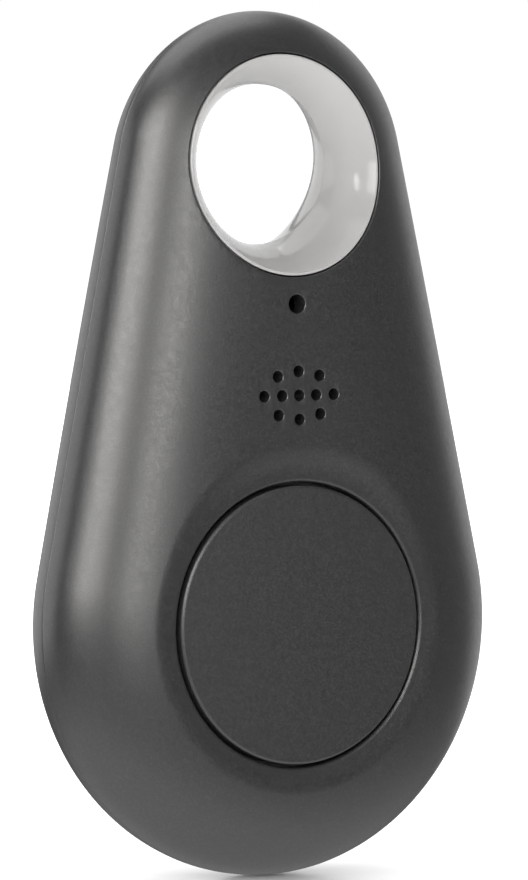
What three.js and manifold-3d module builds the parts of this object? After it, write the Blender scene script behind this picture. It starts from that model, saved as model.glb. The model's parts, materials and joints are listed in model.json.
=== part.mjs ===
// A teardrop key-finder tag: two shells round a coin cell, a circuit board, a sounder and a press
// button, with a flared eyelet for a key ring.
//
// Units are millimetres. X is to the right as the front is seen, Y runs from the front to the back and
// Z is up. The origin is the eyelet's centre on the parting plane, y = 0, where the two shells meet.

import * as THREE from "three";
import { mergeVertices } from "three/addons/utils/BufferGeometryUtils.js";
import Module from "manifold-3d";

const wasm = await Module();
wasm.setup();

// ---- Driving dimensions -------------------------------------------------------------------------

// The outline seen from the front: a big lobe, a small crown and the straight sides that touch both.
const LENGTH = 52;
const LOBE_RADIUS = 15.3;
const CROWN_RADIUS = 9.75;
const EYELET_ABOVE_CROWN = 0.55;
const CROWN_Z = -EYELET_ABOVE_CROWN;
const TOP_Z = CROWN_Z + CROWN_RADIUS;
const BOTTOM_Z = TOP_Z - LENGTH;
const LOBE_Z = BOTTOM_Z + LOBE_RADIUS;

// The section: each shell bulges from the parting plane to its depth along a quarter of a superellipse,
// which reaches inwards by the edge. Above the taper's start, measured from the lobe's centre, the face
// bends towards the parting plane.
const FRONT = { side: -1, depth: 4.8, edge: 10.8, power: 2.4, taperStart: -6, taperRadius: 770 };
const BACK = { side: 1, depth: 5.2, edge: 7, power: 2, taperStart: 8, taperRadius: 260 };
const CREST = 0.96; // share of the way to the outline's middle line at which a bulge ends at the latest
const WALL = 1.2;
const BEYOND = 6; // past the faces, for cutters

// The joint between the shells: a tongue on the back shell in a rebate of the front shell.
const TONGUE_INSET = 0.75;
const TONGUE_REACH = 0.8;
const JOINT_GAP = 0.1;

const EYELET = { hole: 6.7, ring: 6.6, lip: 6.45, throat: 4.8, collar: 7.4 };
const EYELET_FLANGE = { radius: 7.3, y0: 0.2, y1: 0.75 };

// The button stands a little proud of the shallow dish round its aperture. It travels 0.25 mm.
const BUTTON = { face: -4.5, radius: 8.3, round: 0.25, thick: 1.2, skirt: 7.2, boss: 1.4 };
const BUTTON_FLANGE = { radius: 9.3, y0: -3.15, y1: -2.65 };
const BUTTON_HOLE = 8.55;
const DISH = { depth: 4.32, rise: 0.1, width: 1.75 };
const GUIDE = { inner: 9.45, outer: 9.9, y: -2.2 };

const LED_HOLE = { radius: 0.6, z: -8.3 };
const GRILLE = { z: -13.75, halfWidth: 2.45, halfHeight: 1.44, inner: 1.2, hole: 0.35 };

// Planes of the stack between the two walls.
const BOARD = { y0: -0.9, y1: -0.1, inset: 1.9, top: -4.6, scoop: 7.6 };
const SEAT = 0.02; // solder or contact gap between two pieces that lie on each other
const FRONT_SEAT = BOARD.y0 - SEAT;
const BACK_SEAT = BOARD.y1 + SEAT;

// Stepped bosses of the front shell carry the board, and pegs of the back shell clamp it.
const BOSSES = [
  [-8.1, -7],
  [8.1, -7],
  [0, LOBE_Z - 12.1],
];
const BOSS = { foot: 1.9, neck: 1.25, neckY: -1.5, socket: 0.68, socketFloor: -2.2, top: -0.15 };
const PEG = { shoulder: 1.7, radius: 0.6, tip: -1.8, shoulderY: 0.1 };
const BOARD_NOTCH = 1.5;

const CELL = { radius: 10, y0: 0.12, height: 3.2 };
const CELL_BACK = CELL.y0 + CELL.height;

// The back shell's ring that keeps the cell's clip down, and the notch for prying the shell off.
const HOLD_DOWN = { outer: 5.5, inner: 4.8, y: CELL_BACK + 0.34 };
const NOTCH = { width: 5, height: 0.5, depth: 0.6 };

// ---- Solids and their helpers -------------------------------------------------------------------

function solidOf(geometry) {
  const bare = geometry.clone();
  bare.deleteAttribute("normal");
  bare.deleteAttribute("uv");
  const merged = mergeVertices(bare, 1e-4);
  return new wasm.Manifold(
    new wasm.Mesh({
      numProp: 3,
      vertProperties: merged.attributes.position.array,
      triVerts: new Uint32Array(merged.index.array),
    }),
  );
}

function geometryOf(solid) {
  const mesh = solid.getMesh();
  const positions = new Float32Array(mesh.numVert * 3);
  for (let i = 0; i < mesh.numVert; i++) {
    positions.set(mesh.vertProperties.subarray(i * mesh.numProp, i * mesh.numProp + 3), i * 3);
  }
  const geometry = new THREE.BufferGeometry();
  geometry.setAttribute("position", new THREE.BufferAttribute(positions, 3));
  geometry.setIndex(new THREE.BufferAttribute(mesh.triVerts, 1));
  geometry.computeVertexNormals();
  return geometry;
}

const join = (first, ...others) => others.reduce((sum, other) => sum.add(other), first);
const cut = (first, ...others) => others.reduce((rest, other) => rest.subtract(other), first);

function box(x0, x1, y0, y1, z0, z1) {
  const geometry = new THREE.BoxGeometry(x1 - x0, y1 - y0, z1 - z0);
  geometry.translate((x0 + x1) / 2, (y0 + y1) / 2, (z0 + z1) / 2);
  return solidOf(geometry);
}

// A box on the board's front: its centre, its length along X, height off the board and width along Z.
function chip(x, z, length, height, width) {
  return box(
    x - length / 2,
    x + length / 2,
    FRONT_SEAT - height,
    FRONT_SEAT,
    z - width / 2,
    z + width / 2,
  );
}

function rod(radius, y0, y1, x = 0, z = 0, segments = 24) {
  const geometry = new THREE.CylinderGeometry(radius, radius, y1 - y0, segments);
  geometry.translate(x, (y0 + y1) / 2, z);
  return solidOf(geometry);
}

const tube = (outer, inner, y0, y1, x, z, segments) =>
  rod(outer, y0, y1, x, z, segments).subtract(rod(inner, y0 - 1, y1 + 1, x, z, segments));

// A turned piece about the Y axis. The profile is a list of [radius, y], and runs from its highest y
// at the axis, outwards and down, so that the faces point out.
function turned(profile, x = 0, z = 0, segments = 48) {
  const points = profile.map(([radius, y]) => new THREE.Vector2(radius, y));
  const geometry = new THREE.LatheGeometry(points, segments);
  geometry.translate(x, 0, z);
  return upright(solidOf(geometry));
}

// Turns a solid's faces outwards if its profile ran the other way.
function upright(solid) {
  if (solid.volume() > 0) return solid;
  const mesh = solid.getMesh();
  const triVerts = new Uint32Array(mesh.triVerts).reverse();
  const vertProperties = new Float32Array(mesh.vertProperties);
  return new wasm.Manifold(new wasm.Mesh({ numProp: mesh.numProp, vertProperties, triVerts }));
}

// A plate of the given shape, drawn in X and Z, between two values of y.
function plate(shape, y0, y1, curveSegments = 24) {
  const geometry = new THREE.ExtrudeGeometry(shape, {
    depth: y1 - y0,
    bevelEnabled: false,
    curveSegments,
  });
  geometry.rotateX(Math.PI / 2);
  geometry.translate(0, y1, 0);
  return solidOf(geometry);
}

const arcPoints = (count, from, to, at) =>
  Array.from({ length: count + 1 }, (_, i) => at(from + ((to - from) * i) / count));

// ---- The outline and the pillow surface ---------------------------------------------------------

const CENTRES_APART = CROWN_Z - LOBE_Z;
const SIDE_ANGLE = Math.asin((LOBE_RADIUS - CROWN_RADIUS) / CENTRES_APART);
const SIDE_LENGTH = CENTRES_APART * Math.cos(SIDE_ANGLE);

// The right half of the outline from the bottom to the top: points with their outward normals and
// their distances from the outline's middle line.
function rightHalf(lobeSteps = 12, sideSteps = 5, crownSteps = 8) {
  const arc = (count, from, to, middleZ, radius) =>
    arcPoints(count, from, to, (angle) => ({
      x: radius * Math.cos(angle),
      z: middleZ + radius * Math.sin(angle),
      nx: Math.cos(angle),
      nz: Math.sin(angle),
      radius,
    }));
  const lobe = arc(lobeSteps, -Math.PI / 2, SIDE_ANGLE, LOBE_Z, LOBE_RADIUS);
  const crown = arc(crownSteps, SIDE_ANGLE, Math.PI / 2, CROWN_Z, CROWN_RADIUS);
  const from = lobe.at(-1);
  const to = crown[0];
  const side = arcPoints(sideSteps, 0, 1, (share) => ({
    x: from.x + (to.x - from.x) * share,
    z: from.z + (to.z - from.z) * share,
    nx: from.nx,
    nz: from.nz,
    radius: from.radius + (to.radius - from.radius) * share,
  })).slice(1, -1);
  const half = [...lobe, ...side, ...crown];
  half[0].x = 0;
  half[0].nx = 0;
  half.at(-1).x = 0;
  half.at(-1).nx = 0;
  return half;
}

// The whole outline, each point moved inwards by a rule, as a closed loop up the right side and down
// the left. The height of a point comes from its inset and its z.
function loopAt(half, insetOf, heightOf) {
  const right = half.map((p) => {
    const inset = insetOf(p);
    const z = p.z - p.nz * inset;
    return [p.x - p.nx * inset, heightOf(inset, z), z];
  });
  const left = right
    .slice(1, -1)
    .reverse()
    .map(([x, y, z]) => [-x, y, z]);
  return [...right, ...left];
}

// How far a point lies inside the outline.
function insetAt(x, z) {
  const across = Math.abs(x);
  const rise = z - LOBE_Z;
  const along = rise * Math.cos(SIDE_ANGLE) - across * Math.sin(SIDE_ANGLE);
  if (along < 0) return LOBE_RADIUS - Math.hypot(across, rise);
  if (along > SIDE_LENGTH) return CROWN_RADIUS - Math.hypot(across, z - CROWN_Z);
  return LOBE_RADIUS - across * Math.cos(SIDE_ANGLE) - rise * Math.sin(SIDE_ANGLE);
}

// How far a shell's surface stands from the parting plane, at a point that lies by the inset inside
// the outline: the outer surface, or the inner one under a wall.
function bulge(shape, inset, z, wall = 0) {
  const { depth, edge, power, taperStart, taperRadius } = shape;
  const taper = Math.max(0, z - LOBE_Z - taperStart) ** 2 / (2 * taperRadius);
  const outwards = 1 - Math.min(inset - wall, edge - wall) / (edge - wall);
  return (depth - wall - taper) * (1 - outwards ** power) ** (1 / power);
}

const depthAt = (x, z, shape) => bulge(shape, insetAt(x, z), z);

// A closed solid from stacked loops of the same symmetric layout. The first and last loops are
// closed by strips across the width.
function stacked(loops, flip) {
  const count = loops[0].length;
  const half = count / 2;
  const positions = loops.flat(2);
  const triangles = [];
  const quad = (a, b, c, d) => {
    if (a !== b && b !== c && a !== c) triangles.push(a, b, c);
    if (a !== c && c !== d && a !== d) triangles.push(a, c, d);
  };
  for (let k = 0; k + 1 < loops.length; k++) {
    for (let i = 0; i < count; i++) {
      const next = (i + 1) % count;
      quad(k * count + i, k * count + next, (k + 1) * count + next, (k + 1) * count + i);
    }
  }
  const last = (loops.length - 1) * count;
  for (let i = 0; i < half; i++) {
    const mirror = (count - i) % count;
    const mirrorNext = count - i - 1;
    quad(last + i, last + i + 1, last + mirrorNext, last + mirror);
    quad(i, mirror, mirrorNext, i + 1);
  }
  if (flip) triangles.reverse();
  return new wasm.Manifold(
    new wasm.Mesh({
      numProp: 3,
      vertProperties: new Float32Array(positions),
      triVerts: new Uint32Array(triangles),
    }),
  );
}

// One shell's bulging half, solid, moved inwards by a wall thickness. The skirt carries it past the
// parting plane, so that a cavity cuts through there.
function pillow(shape, wall = 0, skirt = 0, steps = 7) {
  const { side, edge, power } = shape;
  const half = rightHalf();
  const loops = arcPoints(steps, 0, Math.PI / 2, (turn) => {
    const share = 1 - Math.cos(turn) ** (2 / power);
    const insetOf = (p) => wall + (Math.min(edge, CREST * p.radius) - wall) * share;
    return loopAt(half, insetOf, (inset, z) => side * bulge(shape, inset, z, wall));
  });
  if (skirt > 0) loops.unshift(loopAt(half, () => wall, () => -side * skirt));
  return stacked(loops, side > 0);
}

// A straight-sided slab of the outline, moved inwards, between two values of y.
function slab(inset, y0, y1) {
  const half = rightHalf();
  const at = (y) => loopAt(half, () => inset, () => y);
  return stacked([at(y0), at(y1)], true);
}

// ---- Housing ------------------------------------------------------------------------------------

// An oval ring of eight holes and a row of three inside it.
function grilleCentres() {
  const diagonal = Math.asin(0.8); // where the oval ring's holes are evenly spaced
  const angles = [0, diagonal, Math.PI / 2, Math.PI - diagonal].flatMap((a) => [a, a + Math.PI]);
  const ring = angles.map((angle) => [
    GRILLE.halfWidth * Math.cos(angle),
    GRILLE.halfHeight * Math.sin(angle),
  ]);
  return [...ring, [-GRILLE.inner, 0], [0, 0], [GRILLE.inner, 0]];
}

// The cutter of the dish round the button: its floor rises from the aperture's edge outwards.
function dish() {
  const floor = arcPoints(5, 0, DISH.width, (out) => [
    BUTTON_HOLE + out,
    -DISH.depth - DISH.rise * out ** 3,
  ]);
  const profile = [[0, -DISH.depth], ...floor, [floor.at(-1)[0], -BEYOND], [0, -BEYOND]];
  return turned(profile, 0, LOBE_Z, 48);
}

function frontShell() {
  const envelope = pillow(FRONT);
  const hollow = cut(envelope, pillow(FRONT, WALL, 1, 5));
  const rebate = slab(TONGUE_INSET - JOINT_GAP, -TONGUE_REACH - JOINT_GAP, BEYOND);
  const collar = rod(EYELET.collar, -FRONT.depth, 0, 0, 0, 32).intersect(envelope);
  const collarEnd = rod(EYELET.collar, -0.5, EYELET_FLANGE.y0 - JOINT_GAP, 0, 0, 32);
  const guide = tube(GUIDE.outer, GUIDE.inner, -FRONT.depth + WALL / 2, GUIDE.y, 0, LOBE_Z, 32);
  const bosses = BOSSES.map(([x, z]) =>
    join(
      rod(BOSS.foot, -FRONT.depth, FRONT_SEAT, x, z, 16).intersect(envelope),
      rod(BOSS.neck, BOSS.neckY, BOSS.top, x, z, 16),
    ),
  );
  const sockets = BOSSES.map(([x, z]) => rod(BOSS.socket, BOSS.socketFloor, BEYOND, x, z, 12));
  const through = (radius, x, z, segments) => rod(radius, -BEYOND, GUIDE.y, x, z, segments);
  return cut(
    join(cut(hollow, rebate), collar, collarEnd, guide, ...bosses),
    ...sockets,
    ...grilleCentres().map(([x, z]) => through(GRILLE.hole, x, GRILLE.z + z, 8)),
    through(LED_HOLE.radius, 0, LED_HOLE.z, 12),
    through(BUTTON_HOLE, 0, LOBE_Z, 48),
    dish(),
    rod(EYELET.hole, -BEYOND, BEYOND, 0, 0, 40),
  );
}

function backShell() {
  const envelope = pillow(BACK);
  const hollow = cut(envelope, pillow(BACK, WALL, 1, 4));
  const tongueRoot = 0.4;
  const tongue = cut(
    slab(TONGUE_INSET, -TONGUE_REACH, tongueRoot),
    slab(WALL + JOINT_GAP, -BEYOND, BEYOND),
  );
  const collar = rod(EYELET.collar, EYELET_FLANGE.y1 + JOINT_GAP, BACK.depth, 0, 0, 32);
  const pegs = BOSSES.map(([x, z]) =>
    join(
      rod(PEG.shoulder, PEG.shoulderY, BACK.depth, x, z, 16).intersect(envelope),
      rod(PEG.radius, PEG.tip, PEG.shoulderY + 1, x, z, 12),
    ),
  );
  const { outer, inner, y } = HOLD_DOWN;
  const holdDown = tube(outer, inner, y, BACK.depth - WALL / 2, 0, LOBE_Z, 32);
  const notchEdge = NOTCH.width / 2;
  return cut(
    join(hollow, tongue, collar.intersect(envelope), holdDown, ...pegs),
    rod(EYELET.hole, -BEYOND, BEYOND, 0, 0, 40),
    box(-notchEdge, notchEdge, 0, NOTCH.height, BOTTOM_Z - 1, BOTTOM_Z + NOTCH.depth),
  );
}

// The hourglass liner of the eyelet. Both rims follow the shells' faces, so each section has its own
// depth; the flange in the middle is held between the two shells' collars.
function eyeletRing(segments = 40, flareSteps = 5) {
  const flare = (share) => EYELET.throat + (EYELET.lip - EYELET.throat) * share ** 2;
  const section = (angle) => {
    const x = EYELET.ring * Math.cos(angle);
    const z = EYELET.ring * Math.sin(angle);
    const front = depthAt(x, z, FRONT);
    const back = depthAt(x, z, BACK);
    const inner = arcPoints(2 * flareSteps, -1, 1, (share) => [
      flare(share),
      share * (share < 0 ? front : back),
    ]);
    const outer = [
      [EYELET.ring, back],
      [EYELET.ring, EYELET_FLANGE.y1],
      [EYELET_FLANGE.radius, EYELET_FLANGE.y1],
      [EYELET_FLANGE.radius, EYELET_FLANGE.y0],
      [EYELET.ring, EYELET_FLANGE.y0],
      [EYELET.ring, -front],
    ];
    return [...inner, ...outer].map(([r, y]) => [r * Math.cos(angle), y, r * Math.sin(angle)]);
  };
  const sections = Array.from({ length: segments }, (_, i) => section((2 * Math.PI * i) / segments));
  const count = sections[0].length;
  const triangles = [];
  for (let i = 0; i < segments; i++) {
    const next = (i + 1) % segments;
    for (let j = 0; j < count; j++) {
      const up = (j + 1) % count;
      const [a, b] = [i * count + j, next * count + j];
      const [c, d] = [next * count + up, i * count + up];
      triangles.push(a, b, c, a, c, d);
    }
  }
  return upright(
    new wasm.Manifold(
      new wasm.Mesh({
        numProp: 3,
        vertProperties: new Float32Array(sections.flat(2)),
        triVerts: new Uint32Array(triangles),
      }),
    ),
  );
}

// ---- Button and its switch ----------------------------------------------------------------------

const PLUNGER = { top: -2.65, gap: 0.03, radius: 0.85, round: 0.1, collar: 1.3, collarHeight: 0.18 };

function buttonCap() {
  const under = BUTTON.face + BUTTON.thick;
  const rim = arcPoints(2, 0, Math.PI / 2, (turn) => [
    BUTTON.radius - BUTTON.round * (1 - Math.cos(turn)),
    BUTTON.face + BUTTON.round * (1 - Math.sin(turn)),
  ]);
  return turned(
    [
      [0, PLUNGER.top - PLUNGER.gap],
      [BUTTON.boss, PLUNGER.top - PLUNGER.gap],
      [BUTTON.boss, under],
      [BUTTON.skirt, under],
      [BUTTON.skirt, BUTTON_FLANGE.y1],
      [BUTTON_FLANGE.radius, BUTTON_FLANGE.y1],
      [BUTTON_FLANGE.radius, BUTTON_FLANGE.y0],
      [BUTTON.radius, BUTTON_FLANGE.y0],
      ...rim,
      [0, BUTTON.face],
    ],
    0,
    LOBE_Z,
    48,
  );
}

const SWITCH = { size: 4.5, height: 1.15, well: 1.6, wellDepth: 0.6, plate: 0.15, plateHole: 0.95 };
const SWITCH_FACE = FRONT_SEAT - SWITCH.height;

function switchBase() {
  return cut(
    chip(0, LOBE_Z, SWITCH.size, SWITCH.height, SWITCH.size),
    rod(SWITCH.well, SWITCH_FACE - 1, SWITCH_FACE + SWITCH.wellDepth, 0, LOBE_Z, 20),
  );
}

// The snap dome that clicks and pushes the plunger back.
function switchDome() {
  const sheet = 0.08;
  const radius = 1.45;
  const rise = 0.26;
  const floor = SWITCH_FACE + SWITCH.wellDepth - SEAT;
  const curve = (lift) =>
    arcPoints(4, 0, 1, (share) => [radius * share, floor - lift - rise * (1 - share ** 2)]);
  return turned([...curve(0), ...curve(sheet).reverse()], 0, LOBE_Z, 16);
}

function switchPlunger() {
  const { top, gap, radius, round, collar, collarHeight } = PLUNGER;
  const collarTop = SWITCH_FACE - SEAT + gap;
  const collarFoot = collarTop + collarHeight;
  return turned(
    [
      [0, collarFoot],
      [collar, collarFoot],
      [collar, collarTop],
      [radius, collarTop],
      [radius, top + round],
      [radius - round, top],
      [0, top],
    ],
    0,
    LOBE_Z,
    16,
  );
}

function switchCover() {
  const y1 = SWITCH_FACE - SEAT;
  const half = SWITCH.size / 2 - JOINT_GAP;
  return cut(
    box(-half, half, y1 - SWITCH.plate, y1, LOBE_Z - half, LOBE_Z + half),
    rod(SWITCH.plateHole, y1 - 1, y1 + 1, 0, LOBE_Z, 16),
  );
}

// A lead of gull-wing form: two feet on the board, joined by a bar against the body.
function sideLead(x, z, side, length, reach) {
  const sheet = 0.15;
  const barHeight = 0.6;
  const footHalf = 0.35;
  const footEdge = 0.4;
  const near = x + side * SEAT;
  const far = near + side * sheet;
  const end = near + side * reach;
  const span = (a, b, y0, y1, z0, z1) => box(Math.min(a, b), Math.max(a, b), y0, y1, z0, z1);
  const bar = span(near, far, FRONT_SEAT - barHeight, FRONT_SEAT, z - length / 2, z + length / 2);
  const feet = [-1, 1].map((sign) => {
    const middle = z + sign * (length / 2 - footEdge);
    return span(near, end, FRONT_SEAT - sheet, FRONT_SEAT, middle - footHalf, middle + footHalf);
  });
  return join(bar, ...feet);
}

// ---- Board and what is soldered to it -----------------------------------------------------------

function circuitBoard() {
  const lobe = LOBE_RADIUS - BOARD.inset;
  const topRise = BOARD.top - LOBE_Z;
  const cornerX = (lobe - topRise * Math.sin(SIDE_ANGLE)) / Math.cos(SIDE_ANGLE);
  const scoopTurn = Math.asin(-BOARD.top / BOARD.scoop);
  const shape = new THREE.Shape();
  shape.absarc(0, LOBE_Z, lobe, Math.PI - SIDE_ANGLE, SIDE_ANGLE, false);
  shape.lineTo(cornerX, BOARD.top);
  shape.lineTo(BOARD.scoop * Math.cos(scoopTurn), BOARD.top);
  shape.absarc(0, 0, BOARD.scoop, -scoopTurn, -Math.PI + scoopTurn, true);
  shape.lineTo(-cornerX, BOARD.top);
  const notches = BOSSES.map(([x, z]) => rod(BOARD_NOTCH, -2, 1, x, z, 16));
  return cut(plate(shape, BOARD.y0, BOARD.y1, 16), ...notches);
}

// The radio's printed aerial: a square-wave trace beside the sounder.
function antennaTrace() {
  const trace = 0.6;
  const height = 0.08;
  const [x0, x1] = [5.2, 9.2];
  const rungs = 7;
  const pitch = 1.25;
  const topZ = -9.8;
  const bar = (xa, xb, za, zb) => box(xa, xb, FRONT_SEAT - height, FRONT_SEAT, za, zb);
  const pieces = [];
  for (let i = 0; i < rungs; i++) {
    const z = topZ - i * pitch;
    pieces.push(bar(x0, x1, z - trace, z));
    if (i + 1 < rungs) {
      const x = i % 2 ? x0 : x1 - trace;
      pieces.push(bar(x, x + trace, z - pitch - trace / 2, z - trace / 2));
    }
  }
  const feed = topZ - (rungs - 1) * pitch;
  pieces.push(bar(x0, x0 + trace, feed - 2, feed - trace / 2));
  return join(...pieces);
}

const SOUNDER = { size: 7.5, height: 2.1, wall: 0.4, port: 0.8, plate: 0.35, z: GRILLE.z };
const SOUNDER_FACE = FRONT_SEAT - SOUNDER.height;

function sounderCase() {
  const inside = SOUNDER.size - 2 * SOUNDER.wall;
  const cavity = box(
    -inside / 2,
    inside / 2,
    SOUNDER_FACE + SOUNDER.wall,
    1,
    SOUNDER.z - inside / 2,
    SOUNDER.z + inside / 2,
  );
  return cut(
    chip(0, SOUNDER.z, SOUNDER.size, SOUNDER.height, SOUNDER.size),
    cavity,
    rod(SOUNDER.port, SOUNDER_FACE - 1, SOUNDER_FACE + 1, 0, SOUNDER.z, 12),
  );
}

// Its working parts, from the board up: a base plate with a core, the coil round the core, the ring
// magnet, and the diaphragm with its weight.
const CORE = { radius: 0.7, height: 0.9 };
const COIL = { outer: 1.6, inner: 0.8, height: 0.85 };
const MAGNET = { outer: 3.1, inner: 2.3, height: 0.95 };
const DIAPHRAGM = { radius: MAGNET.outer, sheet: 0.08, weight: 1.1, height: 0.3 };
const SOUNDER_SEAT = FRONT_SEAT - SOUNDER.plate - 2 * SEAT;

function sounderYoke() {
  const half = SOUNDER.size / 2 - SOUNDER.wall - JOINT_GAP;
  const y0 = SOUNDER_SEAT + SEAT;
  return join(
    box(-half, half, y0, FRONT_SEAT - SEAT, SOUNDER.z - half, SOUNDER.z + half),
    rod(CORE.radius, y0 - CORE.height, y0 + SOUNDER.plate / 2, 0, SOUNDER.z, 12),
  );
}

const sounderRing = ({ outer, inner, height }, segments) =>
  tube(outer, inner, SOUNDER_SEAT - height, SOUNDER_SEAT, 0, SOUNDER.z, segments);

function sounderDiaphragm() {
  const { radius, sheet, weight, height } = DIAPHRAGM;
  const seat = SOUNDER_SEAT - MAGNET.height - SEAT;
  return join(
    rod(radius, seat - sheet, seat, 0, SOUNDER.z, 24),
    rod(weight, seat - height, seat - sheet / 2, 0, SOUNDER.z, 16),
  );
}

const LED = { z: LED_HOLE.z, length: 1.6, width: 0.8, base: 0.35, lens: 0.4, lensLength: 1.1 };
const ledBase = () => chip(0, LED.z, LED.length, LED.base, LED.width);

function ledLens() {
  const y1 = FRONT_SEAT - LED.base - SEAT;
  const halfLength = LED.lensLength / 2;
  const halfWidth = LED.width / 2 - SEAT;
  return box(-halfLength, halfLength, y1 - LED.lens, y1, LED.z - halfWidth, LED.z + halfWidth);
}

// Small parts on the board's front: name, material, centre, and size along X, off the board, along Z.
const SMALL_PARTS = [
  ["radio_chip", "mouldingBlack", 6.1, -22.6, 5, 0.85, 5],
  ["memory_chip", "mouldingBlack", -6.4, -22.6, 4.9, 1.2, 3.9],
  ["crystal_can", "nickel", 6.3, -28.7, 3.2, 0.7, 2.5],
  ["sounder_transistor", "mouldingBlack", -6.9, -11.6, 2.9, 1, 1.3],
  ["sounder_diode", "mouldingBlack", -6.9, -14, 2.6, 0.95, 1.5],
  ["supply_coil", "ferrite", -6.2, -28.6, 2.5, 1.1, 2],
  ["capacitor_1", "ceramic", 3.7, -26.9, 0.8, 0.8, 1.6],
  ["capacitor_2", "ceramic", 9, -26.2, 1.6, 0.8, 0.8],
  ["capacitor_3", "ceramic", 9, -31.2, 1.6, 0.8, 0.8],
  ["capacitor_4", "ceramic", 3.9, -31.6, 0.8, 0.8, 1.6],
  ["capacitor_5", "ceramic", -3.6, -32.4, 1.6, 0.8, 0.8],
  ["capacitor_6", "ceramic", -8.6, -31.6, 0.8, 0.8, 1.6],
  ["capacitor_7", "ceramic", 7.2, -19, 1.6, 0.8, 0.8],
  ["resistor_1", "resistorBlack", -6.9, -16, 1.6, 0.45, 0.8],
  ["resistor_2", "resistorBlack", -6.9, -17.4, 1.6, 0.45, 0.8],
  ["resistor_3", "resistorBlack", 0.6, -34.2, 1.6, 0.45, 0.8],
  ["resistor_4", "resistorBlack", -3.4, -8.9, 1.6, 0.45, 0.8],
];

// ---- Coin cell and its clip ---------------------------------------------------------------------

function cellCan() {
  const sheet = 0.25;
  const mouth = CELL.y0 + 0.3;
  return turned(
    [
      [0, CELL_BACK],
      [CELL.radius - 0.3, CELL_BACK],
      [CELL.radius, CELL_BACK - 0.3],
      [CELL.radius, mouth + 0.4],
      [CELL.radius - 0.35, mouth],
      [9.35, mouth],
      [9.35, mouth + 0.2],
      [CELL.radius - sheet, mouth + 0.5],
      [CELL.radius - sheet, CELL_BACK - sheet],
      [0, CELL_BACK - sheet],
    ],
    0,
    LOBE_Z,
    40,
  );
}

const cellCap = () =>
  turned(
    [
      [0, CELL.y0 + 0.25],
      [8.4, CELL.y0 + 0.25],
      [8.55, CELL.y0 + 0.4],
      [8.55, CELL.y0 + 1.2],
      [8.8, CELL.y0 + 1.2],
      [8.8, CELL.y0 + 0.3],
      [8.5, CELL.y0],
      [0, CELL.y0],
    ],
    0,
    LOBE_Z,
    32,
  );

const cellSeal = () => tube(9.3, 8.85, CELL.y0 + 0.25, CELL.y0 + 1.25, 0, LOBE_Z, 32);
const cellAnode = () => rod(8.2, CELL.y0 + 0.27, CELL.y0 + 0.95, 0, LOBE_Z, 32);
const cellSeparator = () => rod(9.6, CELL.y0 + 1.3, CELL.y0 + 1.4, 0, LOBE_Z, 32);
const cellCathode = () => rod(9.5, CELL.y0 + 1.42, CELL_BACK - 0.27, 0, LOBE_Z, 32);
const cellContact = () => rod(4.2, BACK_SEAT, BACK_SEAT + 0.15, 0, LOBE_Z, 24);

// The strap that holds the cell against the board, with two spring fingers on the cell's back.
const CLIP = { sheet: 0.15, halfWidth: 2.8, bend: CELL.radius + 0.45, foot: 12.6, top: CELL_BACK + 0.03 };
const FINGER = { z: 1.4, halfWidth: 0.55, halfLength: 3.4, slot: 0.25 };

function cellClip() {
  const [z0, z1] = [LOBE_Z - CLIP.halfWidth, LOBE_Z + CLIP.halfWidth];
  const strap = box(-CLIP.bend, CLIP.bend, CLIP.top, CLIP.top + CLIP.sheet, z0, z1);
  const sides = [-1, 1].flatMap((side) => {
    const span = (a, b, y0, y1) =>
      box(Math.min(side * a, side * b), Math.max(side * a, side * b), y0, y1, z0, z1);
    return [
      span(CLIP.bend - CLIP.sheet, CLIP.bend, BACK_SEAT, CLIP.top + CLIP.sheet),
      span(CLIP.bend - CLIP.sheet, CLIP.foot, BACK_SEAT, BACK_SEAT + CLIP.sheet),
    ];
  });
  const cuts = [-1, 1].flatMap((side) => {
    const middle = LOBE_Z + side * FINGER.z;
    const reach = FINGER.halfWidth + FINGER.slot;
    const slot = (xa, xb, za, zb) =>
      box(Math.min(xa, xb), Math.max(xa, xb), CLIP.top - 1, CLIP.top + 1, middle + za, middle + zb);
    return [
      slot(-FINGER.halfLength, FINGER.halfLength, -reach, -FINGER.halfWidth),
      slot(-FINGER.halfLength, FINGER.halfLength, FINGER.halfWidth, reach),
      slot(side * (FINGER.halfLength - FINGER.slot), side * FINGER.halfLength, -reach, reach),
    ];
  });
  return cut(join(strap, ...sides), ...cuts);
}

// ---- The assembly -------------------------------------------------------------------------------

const material = (color, roughness, metalness = 0) =>
  new THREE.MeshStandardMaterial({ color, roughness, metalness });

const MATERIALS = {
  shell: material(0x424244, 0.42, 0.2),
  button: material(0x3f3f42, 0.5, 0.1),
  eyelet: material(0xe9e8ea, 0.18),
  board: material(0x1d5b36, 0.45),
  copper: material(0xc98a4b, 0.35, 1),
  steel: material(0xc6c8ca, 0.28, 1),
  nickel: material(0xd6d3cb, 0.3, 1),
  mouldingBlack: material(0x1b1b1c, 0.55),
  resistorBlack: material(0x151516, 0.4),
  ceramic: material(0xb49a74, 0.5),
  ferrite: material(0x2f2f33, 0.6, 0.3),
  sealPlastic: material(0xe4dfd2, 0.5),
  lithium: material(0xb8bcc0, 0.4, 1),
  cathode: material(0x28282a, 0.9),
  paper: material(0xf0efe8, 0.9),
  ledBody: material(0xf2f2ec, 0.5),
  ledLens: material(0xdfe7ee, 0.1),
};

const tag = new THREE.Group();

function place(name, solid, finish) {
  const mesh = new THREE.Mesh(geometryOf(solid), MATERIALS[finish]);
  mesh.name = name;
  tag.add(mesh);
}

place("front_shell", frontShell(), "shell");
place("back_shell", backShell(), "shell");
place("eyelet_ring", eyeletRing(), "eyelet");
place("button_cap", buttonCap(), "button");

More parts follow.
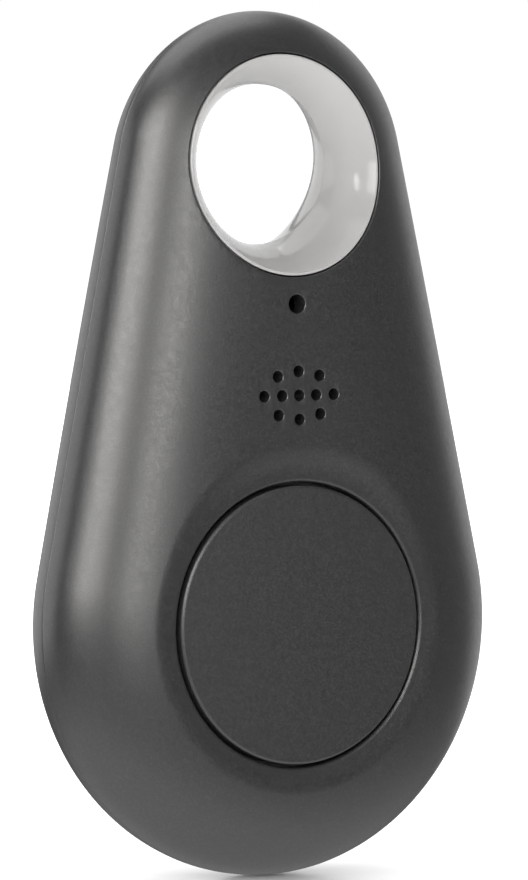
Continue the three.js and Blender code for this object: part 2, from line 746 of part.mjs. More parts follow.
place("switch_base", switchBase(), "mouldingBlack");
place("switch_dome", switchDome(), "steel");
place("switch_plunger", switchPlunger(), "mouldingBlack");
place("switch_cover", switchCover(), "steel");
place("switch_lead_left", sideLead(-SWITCH.size / 2, LOBE_Z, -1, 4.2, 0.9), "nickel");
place("switch_lead_right", sideLead(SWITCH.size / 2, LOBE_Z, 1, 4.2, 0.9), "nickel");

place("circuit_board", circuitBoard(), "board");
place("antenna_trace", antennaTrace(), "copper");
place("led_base", ledBase(), "ledBody");
place("led_lens", ledLens(), "ledLens");
place("sounder_case", sounderCase(), "mouldingBlack");
place("sounder_yoke", sounderYoke(), "steel");
place("sounder_coil", sounderRing(COIL, 20), "copper");
place("sounder_magnet", sounderRing(MAGNET, 24), "ferrite");
place("sounder_diaphragm", sounderDiaphragm(), "steel");
place("sounder_lead_left", sideLead(-SOUNDER.size / 2, SOUNDER.z, -1, 6, 0.6), "nickel");
place("sounder_lead_right", sideLead(SOUNDER.size / 2, SOUNDER.z, 1, 6, 0.6), "nickel");
for (const [name, finish, x, z, length, height, width] of SMALL_PARTS) {
  place(name, chip(x, z, length, height, width), finish);
}

place("cell_can", cellCan(), "steel");
place("cell_seal", cellSeal(), "sealPlastic");
place("cell_cap", cellCap(), "steel");
place("cell_anode", cellAnode(), "lithium");
place("cell_separator", cellSeparator(), "paper");
place("cell_cathode", cellCathode(), "cathode");
place("cell_contact", cellContact(), "copper");
place("cell_clip", cellClip(), "nickel");

export default tag;
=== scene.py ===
"""A key-finder tag of teardrop shape: charcoal shells, a white flared eyelet and a press button.

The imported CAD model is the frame. The outer pieces are rebuilt here on the same surfaces, finer,
with rounded lips and a fine grain; the pieces inside keep their CAD shapes and get their materials
here. Shapes are worked out in millimetres and turned into metres when a piece is finished.
"""

import json
import math

import bpy
from mathutils import Matrix, Vector


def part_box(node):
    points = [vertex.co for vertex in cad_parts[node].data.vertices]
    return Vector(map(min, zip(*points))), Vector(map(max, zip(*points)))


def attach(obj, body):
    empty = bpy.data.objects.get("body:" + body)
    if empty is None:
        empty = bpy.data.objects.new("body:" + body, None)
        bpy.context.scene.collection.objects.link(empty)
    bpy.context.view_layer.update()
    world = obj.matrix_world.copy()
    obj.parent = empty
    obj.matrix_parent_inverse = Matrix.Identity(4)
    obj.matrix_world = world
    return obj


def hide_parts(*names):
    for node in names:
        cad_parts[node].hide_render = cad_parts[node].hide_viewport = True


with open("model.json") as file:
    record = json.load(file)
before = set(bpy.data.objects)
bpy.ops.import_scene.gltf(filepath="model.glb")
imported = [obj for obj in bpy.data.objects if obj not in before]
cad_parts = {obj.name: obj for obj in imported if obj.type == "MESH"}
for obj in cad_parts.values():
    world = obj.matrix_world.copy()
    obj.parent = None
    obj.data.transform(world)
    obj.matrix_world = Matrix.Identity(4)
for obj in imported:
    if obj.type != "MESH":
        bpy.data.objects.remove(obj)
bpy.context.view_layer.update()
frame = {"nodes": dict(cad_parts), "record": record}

MM = 0.001


def corners_mm(node):
    """A CAD node's lowest and highest corner, in millimetres."""
    low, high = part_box(node)
    return low / MM, high / MM


# ---- Dimensions, from the frame and from the design ----------------------------------------------

front_low, front_high = corners_mm("front_shell")
back_low, back_high = corners_mm("back_shell")
cap_low, cap_high = corners_mm("button_cap")

TOP_Z = front_high.z
BOTTOM_Z = front_low.z
LOBE_Z = (cap_low.z + cap_high.z) / 2
LOBE_RADIUS = LOBE_Z - BOTTOM_Z
CROWN_RADIUS = 9.75
CROWN_Z = TOP_Z - CROWN_RADIUS

# Each shell bulges along a quarter of a superellipse, which reaches inwards by the edge. Above the
# taper's start, measured from the lobe's centre, the face bends towards the parting plane.
FRONT = {"side": -1, "depth": 4.8, "edge": 10.8, "power": 2.4, "taper": (-6.0, 770.0)}
BACK = {"side": 1, "depth": back_high.y, "edge": 7.0, "power": 2.0, "taper": (8.0, 260.0)}
CREST = 0.96  # share of the way to the outline's middle line at which a bulge ends at the latest
WALL = 1.2
SEAM_LIP = 0.07  # radius of each shell's edge along the seam

TONGUE_INSET = 0.75
TONGUE_REACH = 0.8
JOINT_GAP = 0.1

EYELET_HOLE = 6.7
EYELET_RING = 6.6
EYELET_LIP = 6.45
EYELET_THROAT = 4.8
EYELET_CREASE = 0.2  # share of the flare that runs straight, so its halves meet in a crease
COLLAR_RADIUS = 7.4
FLANGE_RADIUS = 7.3
FLANGE_Y = (0.2, 0.75)

BUTTON_HOLE = 8.55
BUTTON_RADIUS = 8.36
BUTTON_ROUND = 0.2
BUTTON_FLANGE = (9.3, -3.15, -2.65)
DISH_DEPTH = 4.32
DISH_RISE = 0.085  # per millimetre squared outwards from the aperture
DISH_BLEND = 0.22  # depth over which the dish and the dome run into each other
GUIDE_INNER = 9.45
GUIDE_OUTER = 9.9
GUIDE_Y = -2.2

LED_HOLE_RADIUS = 0.57
LED_HOLE_Z = -8.3
GRILLE_Z = -13.75
GRILLE_HALF_WIDTH = 2.45
GRILLE_HALF_HEIGHT = 1.44
GRILLE_INNER = 1.2
GRILLE_HOLE = 0.35

BOSSES = [(-8.1, -7.0), (8.1, -7.0), (0.0, LOBE_Z - 12.1)]
BOARD_SEAT = -0.92
CELL_BACK = corners_mm("cell_can")[1].y

# ---- Camera --------------------------------------------------------------------------------------

CAMERA_TARGET = Vector((0.06, -0.45, -16.57)) * MM
CAMERA_DISTANCE = 480.9 * MM
CAMERA_AZIMUTH = math.radians(-32.23)
CAMERA_ELEVATION = math.radians(2.81)
CAMERA_ROLL = math.radians(-0.48)
FOCAL_OVER_FRAME = 9.09  # focal length over the long side of the picture
SENSOR = 36.0


def towards(azimuth, elevation):
    """The direction from the tag at an azimuth, from the front and negative to the left."""
    return Vector(
        (
            math.sin(azimuth) * math.cos(elevation),
            -math.cos(azimuth) * math.cos(elevation),
            math.sin(elevation),
        )
    )


def facing(away):
    """The turn of a camera or a light that looks back along a direction."""
    return away.to_track_quat("Z", "Y").to_matrix().to_4x4()


def make_camera():
    data = bpy.data.cameras.new("camera")
    data.sensor_width = SENSOR
    data.lens = SENSOR * FOCAL_OVER_FRAME
    data.clip_start = 0.01
    camera = bpy.data.objects.new("camera", data)
    bpy.context.scene.collection.objects.link(camera)
    away = towards(CAMERA_AZIMUTH, CAMERA_ELEVATION)
    turn = facing(away) @ Matrix.Rotation(CAMERA_ROLL, 4, "Z")
    camera.matrix_world = Matrix.Translation(CAMERA_TARGET + away * CAMERA_DISTANCE) @ turn
    bpy.context.scene.camera = camera


make_camera()

# ---- Meshes and solids ---------------------------------------------------------------------------


def steps(count, start, end):
    return [start + (end - start) * i / count for i in range(count + 1)]


def new_object(name, vertices, faces):
    mesh = bpy.data.meshes.new(name)
    mesh.from_pydata(vertices, [], faces)
    mesh.validate()
    mesh.update()
    made = bpy.data.objects.new(name, mesh)
    bpy.context.scene.collection.objects.link(made)
    return made


def combine(target, tool, operation):
    """Joins a solid with another or cuts it by another, which is used up."""
    modifier = target.modifiers.new("boolean", "BOOLEAN")
    modifier.operation = operation
    modifier.solver = "MANIFOLD"
    modifier.object = tool
    depsgraph = bpy.context.evaluated_depsgraph_get()
    result = bpy.data.meshes.new_from_object(target.evaluated_get(depsgraph))
    target.modifiers.clear()
    target.data, old = result, target.data
    bpy.data.meshes.remove(old)
    bpy.data.objects.remove(tool)
    return target


def cut(target, *tools):
    for tool in tools:
        combine(target, tool, "DIFFERENCE")
    return target


def join(target, *tools):
    for tool in tools:
        combine(target, tool, "UNION")
    return target


def common(target, tool):
    return combine(target, tool, "INTERSECT")


def lofted(loops, closed=False):
    """A solid through loops with equal numbers of points. Open ends are closed by one face each."""
    count = len(loops[0])
    vertices = [point for loop in loops for point in loop]
    faces = []
    spans = len(loops) if closed else len(loops) - 1
    for k in range(spans):
        here = k * count
        there = (k + 1) % len(loops) * count
        for i in range(count):
            after = (i + 1) % count
            faces.append((here + i, here + after, there + after, there + i))
    if not closed:
        faces.append(tuple(reversed(range(count))))
        faces.append(tuple(range((len(loops) - 1) * count, len(loops) * count)))
    return outward(new_object("solid", vertices, faces))


def outward(made):
    """Turns a solid's faces out if they point in."""
    mesh = made.data
    mesh.calc_loop_triangles()
    volume = 0.0
    for triangle in mesh.loop_triangles:
        a, b, c = (mesh.vertices[i].co for i in triangle.vertices)
        volume += a.dot(b.cross(c))
    if volume < 0:
        mesh.flip_normals()
    return made


def circle(radius, y, x=0.0, z=0.0, segments=48):
    """A loop about the Y axis. The height may be a number or a rule for a point's x and z."""
    loop = []
    for i in range(segments):
        angle = 2 * math.pi * i / segments
        px = x + radius * math.cos(angle)
        pz = z + radius * math.sin(angle)
        loop.append((px, y(px, pz) if callable(y) else y, pz))
    return loop


def rod(radius, y0, y1, x=0.0, z=0.0, segments=48):
    return lofted([circle(radius, y, x, z, segments) for y in (y0, y1)])


def tube(outer, inner, y0, y1, x=0.0, z=0.0, segments=48):
    profile = [(outer, y0), (outer, y1), (inner, y1), (inner, y0)]
    return lofted([circle(r, y, x, z, segments) for r, y in profile], closed=True)


def turned(profile, x=0.0, z=0.0, segments=96):
    """A turned solid about the Y axis from [radius, y] points off the axis; its ends are flat."""
    return lofted([circle(r, y, x, z, segments) for r, y in profile])


def block(low, high):
    (x0, y0, z0), (x1, y1, z1) = low, high
    near = [(x0, y0, z0), (x1, y0, z0), (x1, y0, z1), (x0, y0, z1)]
    far = [(x, y1, z) for x, y, z in near]
    return lofted([near, far])


def finish_piece(made, name, material, body, slot_name, *nodes, sharp=30):
    """Names a finished solid, turns it into metres, smooths it and hands it to the frame."""
    made.name = name
    made.data.name = name
    made.data.transform(Matrix.Scale(MM, 4))
    made.data.materials.clear()
    made.data.materials.append(material)
    made.data.shade_smooth()
    made.data.set_sharp_from_angle(angle=math.radians(sharp))
    made.data.update()
    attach(made, body)
    if nodes:
        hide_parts(*nodes)
    return made


# ---- The outline and the bulging surfaces --------------------------------------------------------

SIDE_ANGLE = math.asin((LOBE_RADIUS - CROWN_RADIUS) / (CROWN_Z - LOBE_Z))
SIDE_LENGTH = (CROWN_Z - LOBE_Z) * math.cos(SIDE_ANGLE)


def right_half(lobe_steps=64, side_steps=40, crown_steps=48):
    """The right half of the outline from the bottom to the top: points with their outward normals
    and their distances from the outline's middle line."""
    half = []
    for angle in steps(lobe_steps, -math.pi / 2, SIDE_ANGLE):
        nx, nz = math.cos(angle), math.sin(angle)
        half.append((LOBE_RADIUS * nx, LOBE_Z + LOBE_RADIUS * nz, nx, nz, LOBE_RADIUS))
    crown = []
    for angle in steps(crown_steps, SIDE_ANGLE, math.pi / 2):
        nx, nz = math.cos(angle), math.sin(angle)
        crown.append((CROWN_RADIUS * nx, CROWN_Z + CROWN_RADIUS * nz, nx, nz, CROWN_RADIUS))
    start, end = half[-1], crown[0]
    for share in steps(side_steps, 0, 1)[1:-1]:
        half.append(tuple(a + (b - a) * share for a, b in zip(start, end)))
    half += crown
    half[0] = (0.0, half[0][1], 0.0, -1.0, LOBE_RADIUS)
    half[-1] = (0.0, half[-1][1], 0.0, 1.0, CROWN_RADIUS)
    return half


OUTLINE = right_half()


def loop_at(inset_of, height_of):
    """The whole outline, up the right side, then down the left. Each point moves inwards by a rule
    of its distance from the middle line, and its height is a rule of its inset and its z."""
    right = []
    for x, z, nx, nz, radius in OUTLINE:
        inset = inset_of(radius)
        z -= nz * inset
        right.append((x - nx * inset, height_of(inset, z), z))
    return right + [(-x, y, z) for x, y, z in reversed(right[1:-1])]


def flat_loop(inset, y):
    return loop_at(lambda radius: inset, lambda inset, z: y)


def inset_at(x, z):
    """How far a point lies inside the outline."""
    across = abs(x)
    rise = z - LOBE_Z
    along = rise * math.cos(SIDE_ANGLE) - across * math.sin(SIDE_ANGLE)
    if along < 0:
        return LOBE_RADIUS - math.hypot(across, rise)
    if along > SIDE_LENGTH:
        return CROWN_RADIUS - math.hypot(across, z - CROWN_Z)
    return LOBE_RADIUS - across * math.cos(SIDE_ANGLE) - rise * math.sin(SIDE_ANGLE)


def bulge(shape, inset, z, wall=0.0):
    """How far a shell's outer surface, or its inner one under a wall, stands from the parting
    plane."""
    power = shape["power"]
    start, radius = shape["taper"]
    reach = shape["edge"] - wall
    taper = max(0.0, z - LOBE_Z - start) ** 2 / (2 * radius)
    outwards = 1 - min(max(inset - wall, 0.0), reach) / reach
    return (shape["depth"] - wall - taper) * (1 - outwards**power) ** (1 / power)


def depth_at(x, z, shape):
    return bulge(shape, inset_at(x, z), z)


def front_depth(x, z):
    """The front's outer surface with the dish round the button blended in."""
    dome = depth_at(x, z, FRONT)
    out = max(0.0, math.hypot(x, z - LOBE_Z) - BUTTON_HOLE)
    dish = DISH_DEPTH + DISH_RISE * out**2
    overlap = max(DISH_BLEND - abs(dome - dish), 0.0)
    return min(dome, dish) - overlap**2 / (4 * DISH_BLEND)


def stacked(loops):
    """A solid from loops of the outline's layout; its two ends are closed by strips across."""
    count = len(loops[0])
    half = count // 2
    vertices = [point for loop in loops for point in loop]
    faces = []
    for k in range(len(loops) - 1):
        for i in range(count):
            after = (i + 1) % count
            faces.append(
                (k * count + i, k * count + after, (k + 1) * count + after, (k + 1) * count + i)
            )
    last = (len(loops) - 1) * count
    for i in range(half):
        mirror = (count - i) % count
        mirror_next = count - i - 1
        top = (last + i, last + i + 1, last + mirror_next, last + mirror)
        bottom = (i, mirror, mirror_next, i + 1)
        faces.append(tuple(dict.fromkeys(top)))
        faces.append(tuple(dict.fromkeys(bottom)))
    return outward(new_object("solid", vertices, faces))


def pillow(shape, wall=0.0, skirt=0.0, lip=0.0, count=26):
    """One shell's bulging half, moved inwards by a wall. A skirt carries it past the parting plane,
    and a lip rounds its edge there."""
    side, edge, power = shape["side"], shape["edge"], shape["power"]
    loops = [flat_loop(wall, -side * skirt)] if skirt else []
    loops += seam_lip(side, lip) if lip else []
    start = math.asin((lip / shape["depth"]) ** (power / 2))
    for turn in steps(count, start, math.pi / 2):
        share = 1 - max(0.0, math.cos(turn)) ** (2 / power)
        loops.append(
            loop_at(
                lambda radius: wall + (min(edge, CREST * radius) - wall) * share,
                lambda inset, z: side * bulge(shape, inset, z, wall),
            )
        )
    return stacked(loops)


def seam_lip(side, lip):
    """Loops that round a shell's edge at the parting plane."""
    turns = steps(4, 0, math.pi / 2)[:-1]
    return [flat_loop(lip * (1 - math.sin(t)), side * lip * (1 - math.cos(t))) for t in turns]


def slab(inset, y0, y1):
    """A straight-sided slab of the outline, moved inwards."""
    return stacked([flat_loop(inset, y0), flat_loop(inset, y1)])


def front_skin(count=52, dish_count=28, dish_width=3.0, lip=0.22):
    """The front as a solid ring round the button's aperture. Its loops run from the outline along
    rays to the aperture's middle, over the dish and its rounded lip, and down the wall there."""
    rim = flat_loop(0, 0)
    dish_edge = BUTTON_HOLE + dish_width
    loops = seam_lip(-1, SEAM_LIP)

    def ray_loop(radius_of):
        loop = []
        for x, _, z in rim:
            reach = math.hypot(x, z - LOBE_Z)
            share = radius_of(reach) / reach
            px, pz = x * share, LOBE_Z + (z - LOBE_Z) * share
            loop.append((px, -front_depth(px, pz), pz))
        return loop

    # The steps along a ray are fine near the outline, where the surface turns fastest.
    for k in steps(count, 0, 1)[1:-1]:
        inwards = 0.3 * k**4.8 + 0.7 * k**2.4
        loops.append(ray_loop(lambda reach: reach - (reach - dish_edge) * inwards))
    for k in steps(dish_count, 0, 1):
        loops.append(ray_loop(lambda reach: dish_edge - (dish_width - lip) * k))
    for turn in steps(6, 0, math.pi / 2)[1:]:
        radius = BUTTON_HOLE + lip * (1 - math.sin(turn))
        drop = lip * (1 - math.cos(turn))
        loops.append([(x, y + drop, z) for x, y, z in ray_loop(lambda reach: radius)])
    loops.append([(x, 0.0, z) for x, _, z in loops[-1]])
    return lofted(loops, closed=True)


def mouth(shape, x, z, radius, lip, inner, segments=48):
    """A cutter for a round hole with a rounded lip that follows a shell's outer surface."""
    side = shape["side"]

    def rim(offset):
        return lambda px, pz: side * (depth_at(px, pz, shape) + offset)

    last_turn = math.radians(76)  # the lip stops short of lying flush, which would leave slivers
    loops = [circle(radius, side * inner, x, z, segments)]
    for turn in steps(6, 0, last_turn):
        r = radius + lip * (1 - math.cos(turn))
        loops.append(circle(r, rim(-lip * (1 - math.sin(turn))), x, z, segments))
    reach = 4 * lip
    rise = reach / math.tan(last_turn)
    end = radius + lip * (1 - math.cos(last_turn)) + reach
    loops.append(circle(end, rim(rise), x, z, segments))
    loops.append(circle(end, side * (shape["depth"] + 2), x, z, segments))
    return lofted(loops)


# ---- Materials -----------------------------------------------------------------------------------


def map_range(nodes, links, value, low, high, from_low, from_high):
    """A node that maps a value linearly and clamps it."""
    node = nodes.new("ShaderNodeMapRange")
    node.inputs["From Min"].default_value = from_low
    node.inputs["From Max"].default_value = from_high
    node.inputs["To Min"].default_value = low
    node.inputs["To Max"].default_value = high
    links.new(value, node.inputs["Value"])
    return node.outputs["Result"]


class Finish:
    """A material whose nodes are added one by one; sizes are in millimetres."""

    def __init__(self, name, color, roughness, metallic=0.0):
        self.material = bpy.data.materials.new(name)
        self.material.use_nodes = True
        self.nodes = self.material.node_tree.nodes
        self.links = self.material.node_tree.links
        self.shader = self.nodes["Principled BSDF"]
        self.color = (*color, 1.0)
        self.shader.inputs["Base Color"].default_value = self.color
        self.shader.inputs["Roughness"].default_value = roughness
        self.shader.inputs["Metallic"].default_value = metallic
        self.place = self.nodes.new("ShaderNodeTexCoord").outputs["Object"]

    def noise(self, size, detail=2.0, stretch=(1, 1, 1)):
        """Noise whose lumps are about this size, drawn out along the axes by the stretch."""
        mapping = self.nodes.new("ShaderNodeMapping")
        mapping.inputs["Scale"].default_value = [1 / s for s in stretch]
        noise = self.nodes.new("ShaderNodeTexNoise")
        noise.inputs["Scale"].default_value = 1 / (size * MM)
        noise.inputs["Detail"].default_value = detail
        self.links.new(self.place, mapping.inputs["Vector"])
        self.links.new(mapping.outputs["Vector"], noise.inputs["Vector"])
        return noise.outputs["Fac"]

    def ranged(self, value, low, high, from_low=0.3, from_high=0.7):
        return map_range(self.nodes, self.links, value, low, high, from_low, from_high)

    def vary_color(self, value, other, from_low=0.35, from_high=0.65):
        """Mixes the base colour with another where the value is high."""
        mix = self.nodes.new("ShaderNodeMix")
        mix.data_type = "RGBA"
        mix.inputs["A"].default_value = self.color
        mix.inputs["B"].default_value = (*other, 1.0)
        self.links.new(self.ranged(value, 0, 1, from_low, from_high), mix.inputs["Factor"])
        self.links.new(mix.outputs["Result"], self.shader.inputs["Base Color"])
        return self

    def vary_roughness(self, value, low, high):
        self.links.new(self.ranged(value, low, high), self.shader.inputs["Roughness"])
        return self

    def bump(self, value, height, strength=1.0):
        node = self.nodes.new("ShaderNodeBump")
        node.inputs["Strength"].default_value = strength
        node.inputs["Distance"].default_value = height * MM
        self.links.new(value, node.inputs["Height"])
        self.links.new(node.outputs["Normal"], self.shader.inputs["Normal"])
        return self


def charcoal(name, color, lighter, roughness):
    """Satin plastic with a fine metallic grain, as a sprayed finish over a spark-eroded texture."""
    made = Finish(name, color, roughness)
    made.shader.inputs["IOR"].default_value = 2.2
    grain = made.noise(0.12, 3)
    made.vary_color(grain, lighter, 0.45, 0.75)
    made.vary_roughness(made.noise(0.35), roughness - 0.03, roughness + 0.03)
    made.bump(grain, 0.008, 0.6)
    return made.material


def gloss_white(name):
    made = Finish(name, (0.46, 0.455, 0.455), 0.1)
    made.vary_color(made.noise(3.0), (0.445, 0.44, 0.44))
    made.vary_roughness(made.noise(0.5), 0.09, 0.14)
    made.shader.inputs["Subsurface Weight"].default_value = 0.08
    made.shader.inputs["Subsurface Radius"].default_value = (0.001, 0.001, 0.001)
    made.shader.inputs["Subsurface Scale"].default_value = 0.5
    return made.material


def moulded(name, color, other, roughness, grain=0.1, height=0.004):
    """A moulded, pressed or fired surface with faint mottling and grain."""
    made = Finish(name, color, roughness)
    made.vary_color(made.noise(0.6), other)
    made.vary_roughness(made.noise(0.3), roughness - 0.06, roughness + 0.06)
    return made.bump(made.noise(grain, 3), height).material


def metal(name, color, other, roughness, stretch=(1, 1, 1)):
    """Bare or plated metal with fine marks, drawn out if the sheet is brushed or rolled."""
    made = Finish(name, color, roughness, 1.0)
    marks = made.noise(0.05, 3, stretch)
    made.vary_color(marks, other)
    made.vary_roughness(marks, roughness - 0.03, roughness + 0.04)
    return made.bump(marks, 0.0002, 0.5).material


def clear_resin(name):
    made = Finish(name, (0.9, 0.93, 0.95), 0.08)
    made.vary_roughness(made.noise(0.3), 0.05, 0.12)
    made.shader.inputs["Transmission Weight"].default_value = 0.85
    return made.material


MATERIALS = {
    "shell": charcoal("charcoal_shell", (0.0155, 0.0155, 0.0165), (0.039, 0.039, 0.0405), 0.38),
    "button": charcoal("charcoal_button", (0.016, 0.016, 0.0175), (0.036, 0.036, 0.039), 0.42),
    "eyelet": gloss_white("white_eyelet"),
    "board": moulded("solder_mask", (0.012, 0.09, 0.035), (0.016, 0.12, 0.045), 0.32),
    "copper": metal("gold_flashed_copper", (0.83, 0.52, 0.22), (0.7, 0.42, 0.17), 0.3),
    "steel": metal("brushed_steel", (0.62, 0.63, 0.64), (0.57, 0.58, 0.59), 0.32, (20, 1, 1)),
    "plated_lead": metal("nickel_plate", (0.66, 0.65, 0.62), (0.55, 0.54, 0.51), 0.28, (1, 1, 12)),
    "black_moulding": moulded("black_moulding", (0.012, 0.012, 0.013), (0.02, 0.02, 0.021), 0.55),
    "resistor": moulded("resistor_glaze", (0.01, 0.01, 0.011), (0.016, 0.016, 0.018), 0.4),
    "chip_ceramic": moulded("chip_ceramic", (0.45, 0.32, 0.18), (0.38, 0.26, 0.14), 0.5),
    "ferrite": moulded("ferrite", (0.03, 0.03, 0.033), (0.045, 0.045, 0.05), 0.6),
    "seal": moulded("nylon_seal", (0.77, 0.73, 0.64), (0.7, 0.66, 0.57), 0.5),
    "lithium": metal("lithium", (0.48, 0.5, 0.52), (0.4, 0.42, 0.45), 0.45),
    "cathode": moulded(
        "cathode_powder", (0.02, 0.02, 0.02), (0.035, 0.035, 0.036), 0.9, 0.05, 0.01
    ),
    "separator": moulded(
        "separator_sheet", (0.87, 0.86, 0.8), (0.8, 0.79, 0.73), 0.9, 0.06, 0.008
    ),
    "led_body": moulded("led_body", (0.85, 0.85, 0.8), (0.8, 0.8, 0.75), 0.45),
    "led_lens": clear_resin("led_resin"),
}

for subpart in frame["record"]["subparts"]:
    node = frame["nodes"][subpart["node"]]
    node.data.materials.clear()
    node.data.materials.append(MATERIALS[subpart["material_slot"]])

# ---- Housing -------------------------------------------------------------------------------------


def grille_centres():
    diagonal = math.asin(0.8)  # where an oval ring of eight holes spaces them evenly
    angles = [a + b for a in (0, diagonal, math.pi / 2, math.pi - diagonal) for b in (0, math.pi)]
    ring = [(GRILLE_HALF_WIDTH * math.cos(a), GRILLE_HALF_HEIGHT * math.sin(a)) for a in angles]
    return [(x, GRILLE_Z + z) for x, z in ring + [(-GRILLE_INNER, 0), (0, 0), (GRILLE_INNER, 0)]]


def front_shell():
    depth = FRONT["depth"]
    shell = front_skin()
    cut(shell, pillow(FRONT, WALL, skirt=1, count=16))
    cut(shell, slab(TONGUE_INSET - JOINT_GAP, -TONGUE_REACH - JOINT_GAP, 1))
    join(shell, common(rod(COLLAR_RADIUS, -depth, 0), pillow(FRONT)))
    join(shell, rod(COLLAR_RADIUS, -0.5, FLANGE_Y[0] - JOINT_GAP))
    join(shell, tube(GUIDE_OUTER, GUIDE_INNER, -depth + WALL / 2, GUIDE_Y, 0, LOBE_Z, 96))
    for x, z in BOSSES:
        join(shell, common(rod(1.9, -depth, BOARD_SEAT, x, z), pillow(FRONT)))
        join(shell, rod(1.25, -1.5, -0.15, x, z))
        cut(shell, rod(0.68, -2.2, 1, x, z, 32))
    cut(shell, mouth(FRONT, 0, 0, EYELET_HOLE, 0.1, -1, 128))
    cut(shell, mouth(FRONT, 0, LED_HOLE_Z, LED_HOLE_RADIUS, 0.06, 2))
    for x, z in grille_centres():
        cut(shell, mouth(FRONT, x, z, GRILLE_HOLE, 0.06, 2.5, 24))
    return shell


def back_shell():
    depth = BACK["depth"]
    shell = pillow(BACK, lip=SEAM_LIP)
    cut(shell, pillow(BACK, WALL, skirt=1, count=12))
    join(shell, cut(slab(TONGUE_INSET, -TONGUE_REACH, 0.4), slab(WALL + 0.1, -2, 2)))
    join(shell, common(rod(COLLAR_RADIUS, FLANGE_Y[1] + JOINT_GAP, depth), pillow(BACK)))
    join(shell, tube(5.5, 4.8, CELL_BACK + 0.34, depth - WALL / 2, 0, LOBE_Z, 64))
    for x, z in BOSSES:
        join(shell, common(rod(1.7, 0.1, depth, x, z), pillow(BACK)))
        join(shell, rod(0.6, -1.8, 1, x, z, 32))
    cut(shell, mouth(BACK, 0, 0, EYELET_HOLE, 0.1, -1, 128))
    cut(shell, block((-2.5, -0.01, BOTTOM_Z - 1), (2.5, 0.5, BOTTOM_Z + 0.6)))
    return shell


def eyelet_ring(segments=144, flare_steps=20):
    """The hourglass liner of the eyelet, whose rims follow the shells' faces. The mould's halves
    leave a fine line round its throat."""
    rim_round = 0.06
    line_share, line_depth = 0.012, 0.03
    loops = []
    for i in range(segments):
        angle = 2 * math.pi * i / segments
        cos, sin = math.cos(angle), math.sin(angle)
        front = depth_at(EYELET_RING * cos, EYELET_RING * sin, FRONT)
        back = depth_at(EYELET_RING * cos, EYELET_RING * sin, BACK)
        section = []
        flare = steps(flare_steps, -1, 0)[:-1]
        for share in [*flare, -line_share, 0, line_share, *(-s for s in reversed(flare))]:
            opening = EYELET_CREASE * abs(share) + (1 - EYELET_CREASE) * share**2
            radius = EYELET_THROAT + (EYELET_LIP - EYELET_THROAT) * opening
            if share == 0:
                radius += line_depth
            section.append((radius, share * (front if share < 0 else back)))
        section += [
            (EYELET_RING - rim_round, back),
            (EYELET_RING, back - rim_round),
            (EYELET_RING, FLANGE_Y[1]),
            (FLANGE_RADIUS, FLANGE_Y[1]),
            (FLANGE_RADIUS, FLANGE_Y[0]),
            (EYELET_RING, FLANGE_Y[0]),
            (EYELET_RING, rim_round - front),
            (EYELET_RING - rim_round, -front),
        ]
        loops.append([(r * cos, y, r * sin) for r, y in section])
    return lofted(loops, closed=True)


def button_cap():
    """The cap with its rounded edge, its retaining flange and the boss that meets the switch."""
    face = cap_low.y
    under = face + WALL
    flange, flange_top, flange_foot = BUTTON_FLANGE
    rim = [
        (
            BUTTON_RADIUS - BUTTON_ROUND * (1 - math.cos(turn)),
            face + BUTTON_ROUND * (1 - math.sin(turn)),
        )
        for turn in steps(8, 0, math.pi / 2)
    ]
    boss = 1.4
    skirt = 7.2
    profile = [
        (boss, cap_high.y),
        (boss, under),
        (skirt, under),
        (skirt, flange_foot),
        (flange, flange_foot),
        (flange, flange_top),
        (BUTTON_RADIUS, flange_top),
        *rim,
    ]
    return turned(profile, 0, LOBE_Z, 160)


finish_piece(front_shell(), "front_housing", MATERIALS["shell"], "case", "shell", "front_shell")
finish_piece(back_shell(), "back_housing", MATERIALS["shell"], "back_cover", "shell", "back_shell")
finish_piece(eyelet_ring(), "eyelet_liner", MATERIALS["eyelet"], "case", "eyelet", "eyelet_ring")
finish_piece(button_cap(), "press_button", MATERIALS["button"], "button", "button", "button_cap")

# ---- Studio --------------------------------------------------------------------------------------

ROOM_LIGHT = (0.6, 0.1)  # from below, and from the sides and above
ROOM_RANGE = (-0.6, -0.25)  # the sine of the elevation over which it changes
FLOOR_RADIUS = 40.0
PAINTED_SHADOW_GLOW = (0.0, 0.6)  # emission of the floor, over these distances from where the tag stands; kept low near the tag, it paints a contact shadow
PAINTED_SHADOW_RANGE = (0.001, 0.014)
FAR_GLOW = (0.0, 0.4)  # added over these distances
FAR_RANGE = (0.01, 0.1)


def make_floor():
    """A round pale floor that glows more away from the tag; its glow is low where the tag stands,
    which paints a contact shadow. The tag mirrors the room below and not the floor, which would
    fill its flanks with light."""
    finish = Finish("pale_floor", (0.9, 0.9, 0.9), 0.22)
    finish.vary_color(finish.noise(40.0), (0.885, 0.885, 0.89))
    finish.vary_roughness(finish.noise(15.0), 0.2, 0.26)
    finish.shader.inputs["Emission Color"].default_value = (1, 1, 1, 1)
    distance = finish.nodes.new("ShaderNodeVectorMath")
    distance.operation = "LENGTH"
    finish.links.new(finish.place, distance.inputs[0])
    glow_with_painted_shadow = finish.nodes.new("ShaderNodeMath")
    glow_with_painted_shadow.operation = "ADD"
    # the floor's glow is held low near where the tag stands: a painted contact shadow
    near = finish.ranged(distance.outputs["Value"], *PAINTED_SHADOW_GLOW, *PAINTED_SHADOW_RANGE)
    far = finish.ranged(distance.outputs["Value"], *FAR_GLOW, *FAR_RANGE)
    finish.links.new(near, glow_with_painted_shadow.inputs[0])
    finish.links.new(far, glow_with_painted_shadow.inputs[1])
    finish.links.new(glow_with_painted_shadow.outputs["Value"], finish.shader.inputs["Emission Strength"])
    ring = [(x, z, 0.0) for x, _, z in circle(FLOOR_RADIUS, 0, segments=96)]
    floor = new_object("floor", ring, [tuple(range(len(ring)))])
    floor.location.z = BOTTOM_Z * MM
    floor.data.materials.append(finish.material)
    floor.visible_glossy = False


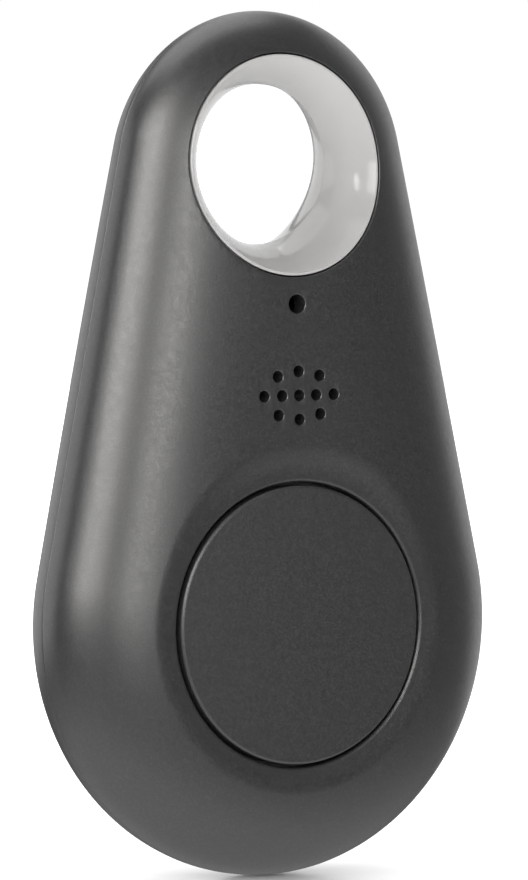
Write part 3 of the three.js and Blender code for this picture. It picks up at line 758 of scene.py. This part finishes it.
def softbox(name, azimuth, elevation, distance, width, height, power, color=(1, 1, 1)):
    """A rectangular light that looks at the tag; its angles are in degrees, its sizes in metres."""
    away = towards(math.radians(azimuth), math.radians(elevation))
    data = bpy.data.lights.new(name, "AREA")
    data.shape = "RECTANGLE"
    data.size = width
    data.size_y = height
    data.energy = power
    data.color = color
    light = bpy.data.objects.new(name, data)
    light.visible_camera = False
    light.matrix_world = Matrix.Translation(CAMERA_TARGET + away * distance) @ facing(away)
    bpy.context.scene.collection.objects.link(light)


def make_world():
    """A white studio: what the camera sees is white, and what lights the tag is dimmer and falls
    off upwards."""
    world = bpy.data.worlds.new("studio")
    world.use_nodes = True
    nodes, links = world.node_tree.nodes, world.node_tree.links
    room = nodes["Background"]
    room.inputs["Color"].default_value = (1, 1, 1, 1)
    direction = nodes.new("ShaderNodeSeparateXYZ")
    links.new(nodes.new("ShaderNodeTexCoord").outputs["Generated"], direction.inputs["Vector"])
    links.new(
        map_range(nodes, links, direction.outputs["Z"], *ROOM_LIGHT, *ROOM_RANGE),
        room.inputs["Strength"],
    )
    seen = nodes.new("ShaderNodeBackground")
    seen.inputs["Color"].default_value = (1, 1, 1, 1)
    seen.inputs["Strength"].default_value = 1.0
    mix = nodes.new("ShaderNodeMixShader")
    links.new(nodes.new("ShaderNodeLightPath").outputs["Is Camera Ray"], mix.inputs[0])
    links.new(room.outputs["Background"], mix.inputs[1])
    links.new(seen.outputs["Background"], mix.inputs[2])
    links.new(mix.outputs["Shader"], nodes["World Output"].inputs["Surface"])
    bpy.context.scene.world = world


make_floor()
make_world()
softbox("left_box", -48, 22, 0.6, 0.42, 0.32, 1.8, (1.0, 0.985, 0.955))
softbox("front_box", -3, 9, 0.6, 0.09, 0.2, 0.52, (1.0, 0.99, 0.965))
softbox("left_card", -81, 25, 0.6, 0.045, 0.16, 0.17)
softbox("left_rim_box", -154, 8, 0.6, 1.0, 0.4, 1.15)
softbox("right_rim_box", 123, 12, 0.6, 0.85, 0.65, 1.6)
softbox("overhead_box", 180, 72, 0.8, 1.0, 1.0, 4.0)
bpy.context.scene.view_settings.view_transform = "Standard"
